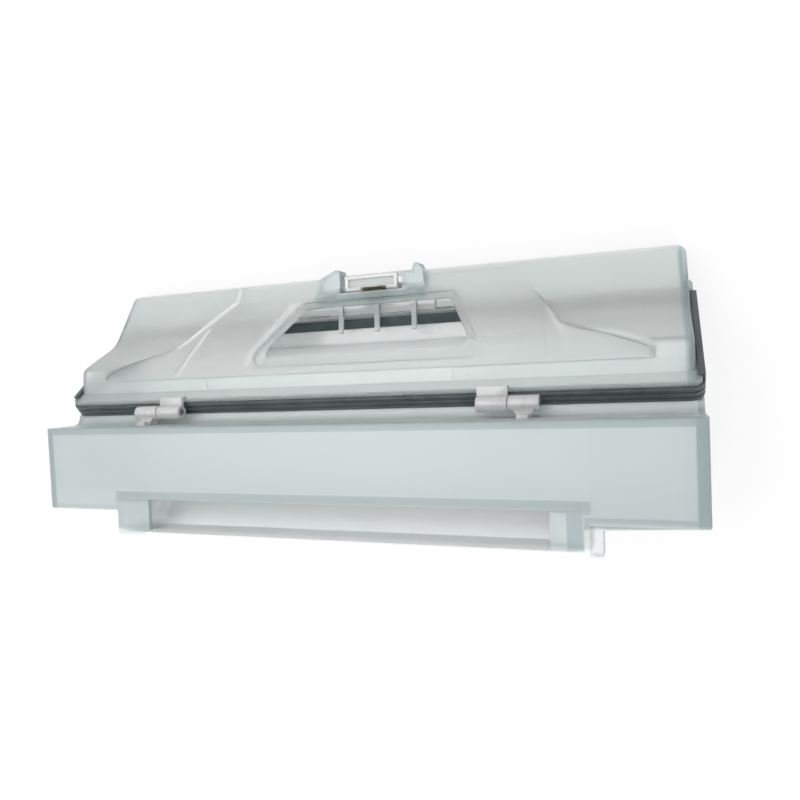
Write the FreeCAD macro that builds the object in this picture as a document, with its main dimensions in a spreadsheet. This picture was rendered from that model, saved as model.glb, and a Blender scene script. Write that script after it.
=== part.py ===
import FreeCAD, Part
import math
import os

import Sketcher

# Dust bin of a robot vacuum: a tray with the intake mouth in its flat front panel, closed by a
# wave-shaped lid on two pin hinges, with a rubber seal round the slanted opening and a rocking latch.
# The bin lies on its flat back. X runs along the bin, Y from the mouth to the latch, Z up to the panel.
# In the sheet every Y is counted from the panel's upper edge and every Z from the flat back.

doc = FreeCAD.newDocument("dust_bin")
sheet = doc.addObject("Spreadsheet::Sheet", "d")

SIZES = {
    # tray
    "tray_half": 145.0,      # half the length of the tray
    "panel_z": 72.0,         # height of the front panel over the flat back
    "panel_h": 38.3,         # the panel, from its upper edge down to its lower edge
    "wall": 2.2,             # moulded wall of the tray
    "cove_z": 51.2,          # level of the land beside the rim
    "cove_round": 4.1,       # concave round between ledge and land
    "land": 0.3,             # flat strip between the cove and the rim
    "rim_angle": 49.9,       # slope of the opening
    "step_z": 4.5,           # how far the back wall steps in for the latch
    "step_y": 31.0,          # where the back wall steps in
    "edge_round": 1.2,       # soft outer edges of the tray
    # mouth
    "mouth_half": 105.0,     # half the length of the mouth box
    "mouth_rise": 7.7,       # upper face of the mouth's roof over the panel's lower edge
    "mouth_drop": 11.4,      # underside of the mouth box below the panel's lower edge
    "mouth_slot": 90.5,      # half the length of the slot behind the funnel
    "funnel_depth": 3.5,     # depth of the sloped ends of the funnel
    "funnel_wall": 1.5,      # wall of the sloped ends
    "roof_depth": 12.0,      # depth of the mouth's roof
    "chin_depth": 18.0,      # depth of the mouth box before it slopes back to the tray
    "guide_wide": 4.5,       # guide rib beside the right end of the mouth
    "guide_lip": 1.6,        # the rib runs out along the panel's lower edge
    "guide_deep": 2.0,       # the rib stands back from the panel
    "guide_long": 9.0,
    # opening, seal and lid
    "rim_gap": 0.3,          # gap between the tray's rim and the seal
    "seal_thick": 6.0,       # the seal, square to the opening
    "seal_wide": 3.5,        # the seal, across its band
    "seal_proud": 0.5,       # how far the seal stands out past the tray
    "seal_round": 5.0,       # corner radius of the seal
    "seal_inner_round": 1.5,
    "lip_groove": 0.7,       # depth of the grooves between the seal's lips
    "lip_step": 0.15,        # the lid's side of the seal stands back a little
    "lid_half": 142.4,       # half the length of the lid
    "lid_wall": 2.0,         # moulded wall of the lid
    "lid_flange": 2.0,       # how far the lid's flange stands out past its walls
    "flange_near": 1.0,      # start of the flange down the opening
    "flange_inside": 7.0,    # start of the opening inside the flange
    "flange_round": 3.0,
    "lid_near_z": 51.3,      # near wall of the lid
    "crest_y": 27.3,         # crest of the wave
    "crest_z": 50.8,
    "valley_y": 40.2,        # valley of the wave
    "valley_z": 27.2,
    "top_y": 67.9,           # end wall of the lid beside the latch
    "top_z": 9.5,
    "lid_far_z": 5.1,        # far wall of the lid
    "crest_round": 5.0,
    "valley_round": 16.0,
    "top_round": 4.5,
    "heel_round": 2.2,       # round between end wall and far wall of the lid
    "end_round": 1.8,        # rounds at the two ends of the lid
    "corner_round": 5.0,     # the lid's two far corners, seen from the front
    # raised field of the lid with the filter window
    "field_low_y": 21.0,     # lower edge of the raised field
    "field_side": 4.0,       # straight ends of the field beside its lower edge
    "field_high_y": 58.5,    # upper edge of the raised field
    "field_low_half": 127.0,
    "field_bend_y": 37.9,    # where the slanted side turns
    "field_bend_half": 93.0,
    "field_high_half": 76.0,
    "field_low_round": 3.0,
    "field_bend_round": 6.0,
    "field_high_round": 8.0,
    "field_fold_round": 1.5, # fold between near wall and field
    "field_end_round": 6.0,  # fold between field and upper slope
    "window_x": 5.5,         # middle of the filter window
    "window_low_y": 28.8,
    "window_high_y": 52.5,
    "window_low_half": 52.0,
    "window_high_half": 37.0,
    "window_round": 4.0,
    "seat_wide": 3.2,        # ledge that the filter frame sits on
    "seat_deep": 3.0,        # depth of the filter seat below the field
    "crease_low_y": 24.0,    # raised creases on both sides of the window
    "crease_high_y": 44.5,
    "crease_low_half": 88.0,
    "crease_high_half": 83.5,
    "crease_wide": 1.2,
    "crease_high": 0.4,
    "notch_deep": 0.6,       # notches in the near wall, below the fold
    "notch_wide": 4.6,
    "notch_low_y": 16.0,
    "notch_left_x": -65.3,
    "notch_right_x": 53.4,
    "strip_end_x": 82.0,     # end of the strip that joins the right notch
    "strip_wide": 2.2,
    "fold_land": 0.5,        # flat strip between notches and fold
    "pull_x": 49.0,          # shallow recess on the upper slope, right of the latch
    "pull_y": 62.5,
    "pull_half": 20.0,
    "pull_wide": 4.4,
    "pull_deep": 0.5,
    # hinges
    "pin_y": 5.6,
    "pin_z": 58.2,
    "pin_radius": 1.25,
    "pin_fit": 0.05,         # running fit between pin and bore
    "barrel_radius": 3.2,
    "left_hinge_inset": 55.4,   # where the halves of the left hinge meet, from the tray's end
    "right_hinge_inset": 70.0,  # the same at the right hinge
    "tray_barrel": 11.8,     # length of the barrel on the tray
    "lid_barrel": 12.4,      # length of the barrel on the lid
    "hinge_gap": 0.4,        # gap between the two barrels
    "leaf_thick": 1.6,
    "foot_deep": 9.0,        # foot of the bracket, up the wall over the ledge
    "foot_wide": 4.4,        # the bracket's web narrows to its foot
    "web_inset": 0.6,        # the web is narrower than its barrel
    "web_drop": 0.5,         # top of the web below the top of the barrel
    "leaf_seat": 2.0,        # end of the lid's leaf that stands on the flange
    # latch
    "latch_x": 1.7,
    "bay_half": 16.1,        # half the width of the latch bay
    "ear_wide": 10.5,
    "ear_y": 70.8,           # tip of the ears
    "ear_shoulder_y": 67.2,
    "ear_tip_half": 0.9,
    "ear_tip_run": 2.6,      # how far the steep sides of a tip run out
    "left_tip": 17.5,        # tips of the ears, from the middle of the latch
    "right_tip": 23.5,
    "ear_tip_round": 0.7,
    "bay_low_y": 59.2,       # lower end of the latch bay
    "bay_front_z": 13.6,     # front face of the ears
    "bay_top_y": 68.4,       # top of the bridge between the ears
    "bridge_high": 3.0,
    "axle_y": 61.1,
    "axle_z": 8.6,
    "axle_radius": 0.7,
    "axle_seat": 3.0,        # depth of the axle's holes in the ears
    "axle_end_gap": 0.5,
    "boss_radius": 1.9,      # bosses in the bay that carry the axle
    "boss_gap": 0.5,         # gap between boss and lever
    "knuckle_radius": 1.5,
    "lever_half": 11.4,
    "lever_thick": 3.0,      # finger pad of the lever
    "lever_web": 2.1,
    "pad_rise": 1.7,         # underside of the finger pad over the axle
    "lever_top_y": 67.2,
    "arm_half": 7.0,
    "arm_z": 2.0,            # underside of the latch arm over the flat back
    "arm_thick": 1.1,
    "arm_root": 4.5,         # where the arm is as wide as the lever
    "hook_gap": 0.5,         # gap between the hook and the tray's far rim
    "hook_long": 1.8,
    "hook_high": 0.8,
    # shelf and fingers inside the window
    "shelf_x": 6.0,
    "shelf_half": 26.8,
    "shelf_high": 6.4,
    "knob_x": 3.0,           # small wedge in the middle of the shelf
    "knob_half": 2.9,
    "knob_long": 3.6,
    "knob_high": 1.0,
    "finger_x": 4.2,         # the middle finger
    "finger_step": 18.9,     # distance between the fingers
    "finger_thick": 2.2,
    "finger_high": 8.0,      # front of the fingers over the lid's far wall
    "finger_low_y": 39.6,    # tip of the fingers
    "finger_tip": 1.6,
    # spring
    "spring_long": 13.0,
    "spring_wire": 0.5,
    "spring_turns": 9.0,
    "spring_fit": 0.15,      # gap between coil and axle
    "spring_gap": 0.4,       # gap between coil and lever
    # cutting shapes
    "over": 20.0,            # how far a cutting shape runs past what it cuts
}
for row, (alias, value) in enumerate(SIZES.items(), start=1):
    sheet.set("A%d" % row, alias.replace("_", " "))
    sheet.set("B%d" % row, str(value))
    sheet.setAlias("B%d" % row, alias)
doc.recompute()


def size(alias):
    return float(getattr(sheet, alias))


# The bin's own frame has its origin under the middle of its bounding box.
MOUTH_TOP = "(d.panel_h - d.mouth_rise)"
MOUTH_LOW = "(d.panel_h + d.mouth_drop)"
MIDDLE = "((d.ear_y - %s) / 2)" % MOUTH_LOW
middle = (size("ear_y") - size("panel_h") - size("mouth_drop")) / 2


def new_body(label):
    body = doc.addObject("PartDesign::Body", label)
    body.Label = label
    return body


def shift_to_middle(thing):
    """Place a piece that was drawn from the panel's upper edge."""
    thing.setExpression("Placement.Base.y", "-" + MIDDLE)
    return thing


def origin_plane(body, role):
    return [plane for plane in body.Origin.OriginFeatures if plane.Role == role][0]


def sketch_on(body, name, role, lift=None):
    sketch = body.newObject("Sketcher::SketchObject", name)
    sketch.AttachmentSupport = [(origin_plane(body, role), "")]
    sketch.MapMode = "FlatFace"
    if lift:
        sketch.setExpression("AttachmentOffset.Base.z", lift)
    return sketch


def outline(sketch, corners):
    """A closed outline: each corner is tied to the origin by two bound distances."""
    start = sketch.GeometryCount
    count = len(corners)
    ring = [FreeCAD.Vector(math.cos(2 * math.pi * i / count), math.sin(2 * math.pi * i / count), 0)
            for i in range(count)]
    for i in range(count):
        sketch.addGeometry(Part.LineSegment(ring[i], ring[(i + 1) % count]), False)
    for i in range(count):
        sketch.addConstraint(Sketcher.Constraint("Coincident", start + i, 2, start + (i + 1) % count, 1))
    for i, (across, up) in enumerate(corners):
        for kind, place, expression in (("DistanceX", ring[i].x, across), ("DistanceY", ring[i].y, up)):
            tie = sketch.addConstraint(Sketcher.Constraint(kind, -1, 1, start + i, 1, place))
            sketch.setExpression("Constraints[%d]" % tie, expression)


def rounded_box(sketch, half_x, low_y, high_y, radius):
    """A closed outline with four arcs: a rectangle about the Y axis with rounded corners."""
    start = sketch.GeometryCount
    corners = ((-1, low_y, 1, 180, 270), (1, low_y, 1, 270, 360),
               (1, high_y, -1, 0, 90), (-1, high_y, -1, 90, 180))
    guess = ((-2, -2), (2, -2), (2, 2), (-2, 2))
    for i, (sign, edge, inward, begin, end) in enumerate(corners):
        circle = Part.Circle(FreeCAD.Vector(guess[i][0], guess[i][1], 0), FreeCAD.Vector(0, 0, 1), 1)
        sketch.addGeometry(Part.ArcOfCircle(circle, math.radians(begin), math.radians(end)), False)
    sides = (((-2, -3), (2, -3)), ((3, -2), (3, 2)), ((2, 3), (-2, 3)), ((-3, 2), (-3, -2)))
    for first, last in sides:
        sketch.addGeometry(Part.LineSegment(FreeCAD.Vector(*first, 0), FreeCAD.Vector(*last, 0)), False)
    for i in range(4):
        sketch.addConstraint(Sketcher.Constraint("Tangent", start + i, 2, start + 4 + i, 1))
        sketch.addConstraint(Sketcher.Constraint("Tangent", start + 4 + i, 2, start + (i + 1) % 4, 1))
    for i, (sign, edge, inward, begin, end) in enumerate(corners):
        spots = (("DistanceX", guess[i][0], "%s * (%s - %s)" % (sign, half_x, radius)),
                 ("DistanceY", guess[i][1], "%s + %s * (%s)" % (edge, inward, radius)))
        for kind, place, expression in spots:
            tie = sketch.addConstraint(Sketcher.Constraint(kind, -1, 1, start + i, 3, place))
            sketch.setExpression("Constraints[%d]" % tie, expression)
    tie = sketch.addConstraint(Sketcher.Constraint("Radius", start, 1.0))
    sketch.setExpression("Constraints[%d]" % tie, radius)
    for i in (1, 2, 3):
        sketch.addConstraint(Sketcher.Constraint("Equal", start, start + i))


def pad(body, name, sketch, length, both_ways=False, reverse=False):
    feature = body.newObject("PartDesign::Pad", name)
    feature.Profile = sketch
    feature.SideType = "Symmetric" if both_ways else "One side"
    feature.Reversed = reverse
    feature.setExpression("Length", length)
    doc.recompute()
    return feature


def pocket(body, name, sketch, length, both_ways=True, reverse=False):
    before = body.Shape.Volume
    feature = body.newObject("PartDesign::Pocket", name)
    feature.Profile = sketch
    feature.SideType = "Symmetric" if both_ways else "One side"
    feature.Reversed = reverse
    feature.setExpression("Length", length)
    doc.recompute()
    if body.Shape.Volume > before - 1e-3:
        raise RuntimeError("%s removes nothing" % name)
    return feature


def round_edges(body, name, base, edges, radius):
    feature = body.newObject("PartDesign::Fillet", name)
    feature.Base = (base, edges)
    feature.setExpression("Radius", radius)
    doc.recompute()
    return feature


def edges_where(shape, test):
    return ["Edge%d" % (i + 1) for i, edge in enumerate(shape.Edges) if test(edge)]


def edge_lies_at(edge, **places):
    """True if both ends of an edge lie on the named coordinates."""
    for vertex in edge.Vertexes:
        for axis, place in places.items():
            if abs(getattr(vertex.Point, axis) - place) > 1e-4:
                return False
    return True


# The slanted opening: "along" runs down the rim from its near edge, "off" stands square to it.
ALONG_Y = "cos(d.rim_angle)"
ALONG_Z = "sin(d.rim_angle)"
RIM_Y = "(d.cove_round + d.land)"
RIM_END_Y = "(%s + (d.cove_z - d.step_z) * %s / %s)" % (RIM_Y, ALONG_Y, ALONG_Z)
RIM_LENGTH = "((d.cove_z - d.step_z) / %s)" % ALONG_Z
SLANT = "d.wall * (sqrt(2) - 1)"  # an inner corner moves by this at a slant of 45 degrees

slope = math.radians(size("rim_angle"))
rim_y = size("cove_round") + size("land")
rim_length = (size("cove_z") - size("step_z")) / math.sin(slope)


def rim_point(along, off):
    """The Y and Z of a place on the slanted opening."""
    return (rim_y + along * math.cos(slope) + off * math.sin(slope),
            size("cove_z") - along * math.sin(slope) + off * math.cos(slope))


def tilt_to_rim(thing):
    """Stand a piece that was drawn flat on the slanted opening."""
    thing.Placement.Rotation = FreeCAD.Rotation(FreeCAD.Vector(-1, 0, 0), size("rim_angle"))
    thing.setExpression("Placement.Base.y", "%s - %s" % (RIM_Y, MIDDLE))
    thing.setExpression("Placement.Base.z", "d.cove_z")
    thing.setExpression("Placement.Rotation.Angle", "d.rim_angle")
    return thing


# Tray: one moulding with the front panel, the ledge and cove over it, the slanted rim and the mouth.
def make_tray():
    body = new_body("tray")
    section = sketch_on(body, "tray_section", "YZ_Plane")
    outline(section, [
        ("-d.panel_h", "0"),
        ("d.step_y", "0"),
        ("d.step_y + d.step_z", "d.step_z"),
        (RIM_END_Y, "d.step_z"),
        (RIM_Y, "d.cove_z"),
        ("0", "d.cove_z"),
        ("0", "d.panel_z"),
        ("-d.panel_h", "d.panel_z")])
    block = pad(body, "tray_block", section, "2 * d.tray_half", both_ways=True)
    corner = edges_where(block.Shape, lambda edge: edge_lies_at(edge, y=0.0, z=size("cove_z")))
    cove = round_edges(body, "cove", block, corner, "d.cove_round")
    panel_z, panel_h, half = size("panel_z"), size("panel_h"), size("tray_half")
    outer = edges_where(cove.Shape, lambda edge: (
        edge_lies_at(edge, x=half, y=-panel_h) or edge_lies_at(edge, x=-half, y=-panel_h)
        or edge_lies_at(edge, y=-panel_h, z=0.0) or edge_lies_at(edge, x=half, z=0.0)
        or edge_lies_at(edge, x=-half, z=0.0) or edge_lies_at(edge, y=0.0, z=panel_z)
        or edge_lies_at(edge, x=half, z=panel_z) or edge_lies_at(edge, x=-half, z=panel_z)
        or edge_lies_at(edge, y=-panel_h, z=panel_z)))
    round_edges(body, "outer_edges", cove, outer, "d.edge_round")

    hollow = sketch_on(body, "tray_hollow", "YZ_Plane")
    outline(hollow, [
        ("-d.panel_h + d.wall", "d.wall"),
        ("d.step_y - " + SLANT, "d.wall"),
        ("d.step_y + d.step_z - " + SLANT, "d.step_z + d.wall"),
        (RIM_END_Y + " + d.over", "d.step_z + d.wall"),
        (RIM_END_Y + " + d.over", "d.cove_z - d.wall"),
        ("-d.wall", "d.cove_z - d.wall"),
        ("-d.wall", "d.panel_z - d.wall"),
        ("-d.panel_h + d.wall", "d.panel_z - d.wall")])
    pocket(body, "tray_space", hollow, "2 * (d.tray_half - d.wall)")

    mouth = sketch_on(body, "mouth_section", "YZ_Plane")
    outline(mouth, [
        ("-" + MOUTH_TOP, "d.panel_z"),
        ("-" + MOUTH_TOP, "d.panel_z - d.roof_depth"),
        ("-d.panel_h + d.wall", "d.panel_z - d.roof_depth"),
        ("-d.panel_h + d.wall", "d.panel_z - d.chin_depth - d.mouth_drop"),
        ("-d.panel_h", "d.panel_z - d.chin_depth - d.mouth_drop"),
        ("-" + MOUTH_LOW, "d.panel_z - d.chin_depth"),
        ("-" + MOUTH_LOW, "d.panel_z")])
    chin = pad(body, "mouth_box", mouth, "2 * d.mouth_half", both_ways=True)
    mouth_half, mouth_low = size("mouth_half"), panel_h + size("mouth_drop")
    ends = edges_where(chin.Shape, lambda edge: (
        edge_lies_at(edge, x=mouth_half, y=-mouth_low) or edge_lies_at(edge, x=-mouth_half, y=-mouth_low)
        or edge_lies_at(edge, y=-mouth_low, z=panel_z)))
    round_edges(body, "mouth_edges", chin, ends, "d.edge_round")

    chamber = sketch_on(body, "chamber_section", "YZ_Plane")
    outline(chamber, [
        ("-%s + d.wall" % MOUTH_LOW, "d.panel_z - d.funnel_depth - d.wall"),
        ("-%s + d.wall" % MOUTH_LOW, "d.panel_z - d.chin_depth + " + SLANT),
        ("-d.panel_h + d.wall", "d.panel_z - d.chin_depth - d.mouth_drop + " + SLANT),
        ("-%s - d.wall" % MOUTH_TOP, "d.panel_z - d.chin_depth - d.mouth_drop + " + SLANT),
        ("-%s - d.wall" % MOUTH_TOP, "d.panel_z - d.funnel_depth - d.wall")])
    pocket(body, "mouth_chamber", chamber, "2 * (d.mouth_half - d.wall)")

    # The ends of the funnel slope at the mouth's own flare and are cored out behind.
    mouth_middle = "(%s + %s) / 2" % (MOUTH_TOP, MOUTH_LOW)
    mouth_clear = "d.mouth_rise + d.mouth_drop - 2 * d.wall"
    flare_x = "(d.mouth_half - 2 * d.wall)"
    funnel = sketch_on(body, "funnel_section", "XZ_Plane", mouth_middle)
    outline(funnel, [
        ("-" + flare_x, "d.panel_z + d.over"), ("-" + flare_x, "d.panel_z"),
        ("-d.mouth_slot", "d.panel_z - d.funnel_depth"), ("-d.mouth_slot", "d.panel_z - d.roof_depth - d.wall"),
        ("d.mouth_slot", "d.panel_z - d.roof_depth - d.wall"), ("d.mouth_slot", "d.panel_z - d.funnel_depth"),
        (flare_x, "d.panel_z"), (flare_x, "d.panel_z + d.over")])
    pocket(body, "funnel", funnel, mouth_clear)
    for side, sign in (("left", "-"), ("right", "")):
        core = sketch_on(body, side + "_core_section", "XZ_Plane", mouth_middle)
        outline(core, [
            (sign + "(d.mouth_slot + d.funnel_wall)", "d.panel_z - d.funnel_depth - d.wall"),
            (sign + "(d.mouth_half - d.wall)", "d.panel_z - d.funnel_depth - d.wall"),
            (sign + "(d.mouth_half - d.wall)", "d.panel_z - d.wall")])
        pocket(body, side + "_core", core, mouth_clear)

    # The guide rib steers the right end of the mouth into its seat in the robot.
    guide = sketch_on(body, "guide_section", "XY_Plane", "d.panel_z - d.guide_deep - d.guide_long")
    outline(guide, [
        ("d.mouth_half - d.wall / 2", "-" + MOUTH_LOW),
        ("d.mouth_half + d.guide_wide", "-" + MOUTH_LOW),
        ("d.mouth_half + d.guide_wide", "-d.panel_h - d.guide_lip"),
        ("d.tray_half - d.edge_round", "-d.panel_h"),
        ("d.tray_half - d.edge_round", "-d.panel_h + d.wall / 2"),
        ("d.mouth_half - d.wall / 2", "-d.panel_h + d.wall / 2")])
    pad(body, "guide_rib", guide, "d.guide_long")
    return shift_to_middle(body)


# Seal: a flat ring of black rubber with rounded corners and three lips round its outer side.
# Each layer starts at a share of the seal's thickness, takes a share of it and stands back by a depth.
SEAL_LAYERS = (
    (0.00, 0.22, "0"),
    (0.22, 0.12, "d.lip_groove"),
    (0.34, 0.34, "0"),
    (0.68, 0.10, "d.lip_groove"),
    (0.78, 0.22, "d.lip_step"))


def make_seal():
    body = new_body("lid_seal")
    for i, (start, share, dip) in enumerate(SEAL_LAYERS):
        ring = sketch_on(body, "lip_%d_ring" % i, "XY_Plane", "d.rim_gap + %s * d.seal_thick" % start)
        rounded_box(ring, "(d.tray_half + d.seal_proud - %s)" % dip, "(-d.seal_proud + %s)" % dip,
                    "(%s + d.seal_proud - %s)" % (RIM_LENGTH, dip), "(d.seal_round - %s)" % dip)
        inset = "(d.seal_wide - d.seal_proud)"
        rounded_box(ring, "(d.tray_half - %s)" % inset, inset, "(%s - %s)" % (RIM_LENGTH, inset),
                    "d.seal_inner_round")
        pad(body, "lip_%d" % i, ring, "%s * d.seal_thick" % share)
    return tilt_to_rim(body)


# Lid: computed with Part's own functions, because the hollow follows the wave at a constant wall.
def offset_corners(corners, distances):
    """Move each side of a closed outline inwards by its own distance and meet the sides again."""
    count = len(corners)
    area = sum(corners[i][0] * corners[(i + 1) % count][1] - corners[(i + 1) % count][0] * corners[i][1]
               for i in range(count))
    turn = 1 if area > 0 else -1
    lines = []
    for i in range(count):
        (ay, az), (by, bz) = corners[i], corners[(i + 1) % count]
        length = math.hypot(by - ay, bz - az)
        run = ((by - ay) / length, (bz - az) / length)
        inward = (-run[1] * turn, run[0] * turn)
        lines.append(((ay + inward[0] * distances[i], az + inward[1] * distances[i]), run))
    moved = []
    for i in range(count):
        (py, pz), (ry, rz) = lines[i - 1]
        (qy, qz), (sy, sz) = lines[i]
        reach = ((qy - py) * sz - (qz - pz) * sy) / (ry * sz - rz * sy)
        moved.append((py + ry * reach, pz + rz * reach))
    return moved


def rounded_face(corners, radii, place):
    """A face from an outline whose corners carry arcs; place turns two numbers into a point."""
    count = len(corners)
    edges = []
    starts, ends, middles = [], [], []
    for i, (corner, radius) in enumerate(zip(corners, radii)):
        before, after = corners[i - 1], corners[(i + 1) % count]
        back = (before[0] - corner[0], before[1] - corner[1])
        ahead = (after[0] - corner[0], after[1] - corner[1])
        back_length, ahead_length = math.hypot(*back), math.hypot(*ahead)
        back = (back[0] / back_length, back[1] / back_length)
        ahead = (ahead[0] / ahead_length, ahead[1] / ahead_length)
        half_angle = math.acos(max(-1.0, min(1.0, back[0] * ahead[0] + back[1] * ahead[1]))) / 2
        cut = min(radius / math.tan(half_angle), 0.48 * back_length, 0.48 * ahead_length)
        arc_radius = cut * math.tan(half_angle)
        starts.append((corner[0] + back[0] * cut, corner[1] + back[1] * cut))
        ends.append((corner[0] + ahead[0] * cut, corner[1] + ahead[1] * cut))
        middle_way = (back[0] + ahead[0], back[1] + ahead[1])
        middle_length = math.hypot(*middle_way)
        reach = arc_radius / math.sin(half_angle) - arc_radius
        middles.append((corner[0] + middle_way[0] / middle_length * reach,
                        corner[1] + middle_way[1] / middle_length * reach))
    for i in range(count):
        if radii[i] > 0:
            edges.append(Part.Arc(place(*starts[i]), place(*middles[i]), place(*ends[i])).toShape())
        edges.append(Part.LineSegment(place(*ends[i]), place(*starts[(i + 1) % count])).toShape())
    return Part.Face(Part.Wire(edges))


def along_x(corners, radii, half_length, middle_x=0.0):
    """A prism along X from an outline in Y and Z."""
    face = rounded_face(corners, radii, lambda y, z: FreeCAD.Vector(middle_x - half_length, y, z))
    return face.extrude(FreeCAD.Vector(2 * half_length, 0, 0))


def along_z(corners, radii, low_z, high_z):
    """A prism along Z from an outline in X and Y."""
    face = rounded_face(corners, radii, lambda x, y: FreeCAD.Vector(x, y, low_z))
    return face.extrude(FreeCAD.Vector(0, 0, high_z - low_z))


def box(low, high):
    return Part.makeBox(high[0] - low[0], high[1] - low[1], high[2] - low[2], FreeCAD.Vector(*low))


lid_off = size("rim_gap") + size("seal_thick")


def lid_rim_at(z):
    """The Y where the lid's own rim reaches a level."""
    y0, z0 = rim_point(0, lid_off)
    return y0 + (z0 - z) * math.cos(slope) / math.sin(slope)


def wave_corners():
    near_z, far_z = size("lid_near_z"), size("lid_far_z")
    return [(lid_rim_at(near_z), near_z), (size("crest_y"), size("crest_z")),
            (size("valley_y"), size("valley_z")), (size("top_y"), size("top_z")),
            (size("top_y"), far_z), (lid_rim_at(far_z), far_z)]


def slope_z(y):
    """The level of the lid's gentle upper slope."""
    share = (y - size("valley_y")) / (size("top_y") - size("valley_y"))
    return size("valley_z") + share * (size("top_z") - size("valley_z"))


def field_z(y):
    """The level of the flat raised field."""
    low_y, high_y = size("field_low_y"), size("field_high_y")
    share = (y - low_y) / (high_y - low_y)
    return size("lid_near_z") + share * (slope_z(high_y) - size("lid_near_z"))


def field_corners():
    near_z, far_z = size("lid_near_z"), size("lid_far_z")
    return [(lid_rim_at(near_z), near_z), (size("field_low_y"), near_z),
            (size("field_high_y"), slope_z(size("field_high_y"))), (size("top_y"), size("top_z")),
            (size("top_y"), far_z), (lid_rim_at(far_z), far_z)]


def field_prism(grow):
    """The outline of the raised field, seen from the front, grown or shrunk all round."""
    low_y, bend_y, high_y = size("field_low_y"), size("field_bend_y"), size("field_high_y")
    low, bend, high = size("field_low_half"), size("field_bend_half"), size("field_high_half")
    side_y = low_y + size("field_side")
    corners = [(-low, low_y), (low, low_y), (low, side_y), (bend, bend_y), (high, high_y),
               (-high, high_y), (-bend, bend_y), (-low, side_y)]
    rounds = [size("field_low_round"), size("field_bend_round"), size("field_high_round")]
    corners = offset_corners(corners, [-grow] * len(corners))
    return along_z(corners, [0, 0] + rounds + rounds[::-1], -size("over"), size("panel_z"))


def make_lid_shell():
    wall, half = size("lid_wall"), size("lid_half")
    wave, field = wave_corners(), field_corners()
    heel = size("heel_round")
    wave_radii = [0, size("crest_round"), size("valley_round"), size("top_round"), heel, 0]
    inner_radii = [0, size("crest_round") - wall, size("valley_round") + wall, size("top_round") - wall, 0, 0]
    field_end = size("field_end_round")
    field_radii = [0, size("field_fold_round"), field_end, size("top_round"), heel, 0]
    inner_field_radii = [0, 0, field_end - wall, size("top_round") - wall, 0, 0]
    outer_wave = along_x(wave, wave_radii, half)
    ends = [edge for edge in outer_wave.Edges
            if edge_lies_at(edge, x=half) or edge_lies_at(edge, x=-half)]
    rim_z_near, rim_z_far = wave[0][1], wave[5][1]
    ends = [edge for edge in ends
            if not (abs(edge.BoundBox.ZMin - rim_z_far) < 1e-3 and abs(edge.BoundBox.ZMax - rim_z_near) < 1e-3)]
    outer_wave = outer_wave.makeFillet(size("end_round"), ends)
    outer = outer_wave.cut(field_prism(0)).fuse(along_x(field, field_radii, half).common(field_prism(0)))
    outer = outer.common(plan_outline(0))

    inset = [wall] * 5 + [-2 * wall]
    inner_wave = along_x(offset_corners(wave, inset), inner_radii, half - wall)
    inner_field = along_x(offset_corners(field, inset), inner_field_radii, half - wall)
    hollow = inner_wave.common(inner_field)
    hollow = hollow.fuse(inner_wave.cut(field_prism(wall)))
    hollow = hollow.fuse(inner_field.common(field_prism(-wall)))
    return outer, hollow.common(plan_outline(wall))


def plan_outline(inset):
    """The lid's outline seen from the front, with its two rounded far corners."""
    half, over = size("lid_half") - inset, size("over")
    return upright(half, -over, size("top_y") - inset, size("corner_round") - inset, -over, size("panel_z"))


def upright(half_x, low, high, radius, low_z, high_z):
    """A block with rounded corners, drawn flat and centred in X."""
    corners = [(-half_x, low), (half_x, low), (half_x, high), (-half_x, high)]
    return along_z(corners, [radius] * len(corners), low_z, high_z)


def make_flange():
    """The lid's flange: a flat ring that lies on the seal."""
    wall, half, over = size("lid_wall"), size("lid_half"), size("over")
    far_end = rim_length + lid_off * math.cos(slope) / math.sin(slope) - size("rim_gap")
    plate = upright(half + size("lid_flange"), size("flange_near"), far_end, size("flange_round"),
                    lid_off, lid_off + wall)
    seal_inside = rim_length - size("seal_wide") + size("seal_proud")
    plate = plate.cut(upright(half - wall, size("flange_inside"), seal_inside,
                              size("seal_inner_round"), lid_off - over, lid_off + over))
    plate.rotate(FreeCAD.Vector(0, 0, 0), FreeCAD.Vector(1, 0, 0), -size("rim_angle"))
    plate.translate(FreeCAD.Vector(0, rim_y, size("cove_z")))
    return plate


def window_prism(grow):
    """The window's outline, seen from the front, grown all round."""
    x, low_y, high_y = size("window_x"), size("window_low_y"), size("window_high_y")
    low, high = size("window_low_half"), size("window_high_half")
    corners = offset_corners([(x - low, low_y), (x + low, low_y), (x + high, high_y), (x - high, high_y)],
                             [-grow] * 4)
    return along_z(corners, [size("window_round") + grow / 2] * 4, 0, size("panel_z"))


def under_field(depth):
    """All that lies deeper than a depth under the raised field."""
    low_y, high_y = size("field_low_y") - size("over"), size("field_high_y") + size("over")
    return along_x([(low_y, field_z(low_y) - depth), (high_y, field_z(high_y) - depth),
                    (high_y, -size("panel_z")), (low_y, -size("panel_z"))], [0] * 4, size("lid_half"))


def over_slope(depth):
    """All that lies above a depth under the upper slope."""
    low_y, high_y = size("valley_y"), size("top_y") + size("over")
    return along_x([(low_y, slope_z(low_y) - depth), (high_y, slope_z(high_y) - depth),
                    (high_y, size("panel_z")), (low_y, size("panel_z"))], [0] * 4, size("lid_half"))


def make_creases():
    """Two raised creases on the field, one on each side of the window."""
    low_y, high_y, wide = size("crease_low_y"), size("crease_high_y"), size("crease_wide")
    creases = []
    for side in (-1, 1):
        low_x, high_x = side * size("crease_low_half"), side * size("crease_high_half")
        strip = along_z([(low_x, low_y), (low_x + wide, low_y), (high_x + wide, high_y), (high_x, high_y)],
                        [0] * 4, 0, size("panel_z"))
        creases.append(strip.common(under_field(-size("crease_high"))).cut(under_field(size("lid_wall") / 2)))
    return creases


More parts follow.
